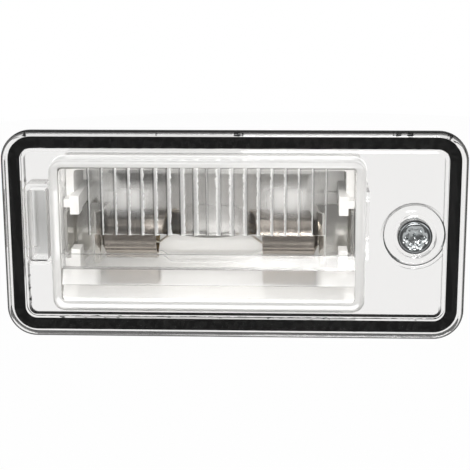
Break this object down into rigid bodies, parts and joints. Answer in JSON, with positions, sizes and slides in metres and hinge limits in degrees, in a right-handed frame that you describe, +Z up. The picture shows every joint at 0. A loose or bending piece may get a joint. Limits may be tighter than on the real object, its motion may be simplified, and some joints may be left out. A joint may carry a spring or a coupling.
{
  "type": "number plate lamp",
  "caption": "Flat oblong number plate lamp: clear fluted lens with a rubber seal, white clipped housing, festoon bulb on spring contacts, hook at one end and a fixing screw at the other.",
  "frame": {"origin": "middle of the lamp's outline, on the plane of the seal's rear face, which is the panel the lamp is fixed to", "axes": "+X along the lamp towards the screw, +Y into the panel behind the lamp, +Z up, so the lens faces -Y"},
  "size_m": [0.085, 0.0307, 0.039],
  "materials": {
    "clear_lens": "clear moulded plastic",
    "seal_rubber": "matt black rubber",
    "white_plastic": "white moulded plastic",
    "bright_reflector": "bright metal",
    "contact_strip": "plated spring strip",
    "bulb_glass": "clear glass",
    "bulb_cap": "nickel-plated brass",
    "lead_wire": "drawn wire",
    "filament_wire": "coiled wire",
    "screw_steel": "zinc-plated steel"
  },
  "bodies": {
    "root": {"lens": "clear_lens", "seal": "seal_rubber", "housing": "white_plastic", "reflector": "bright_reflector", "contact_left": "contact_strip", "contact_right": "contact_strip", "bulb_glass": "bulb_glass", "bulb_cap_left": "bulb_cap", "bulb_cap_right": "bulb_cap", "bulb_lead_left": "lead_wire", "bulb_lead_right": "lead_wire", "bulb_filament": "filament_wire", "fixing_screw": "screw_steel"}
  },
  "joints": []
}
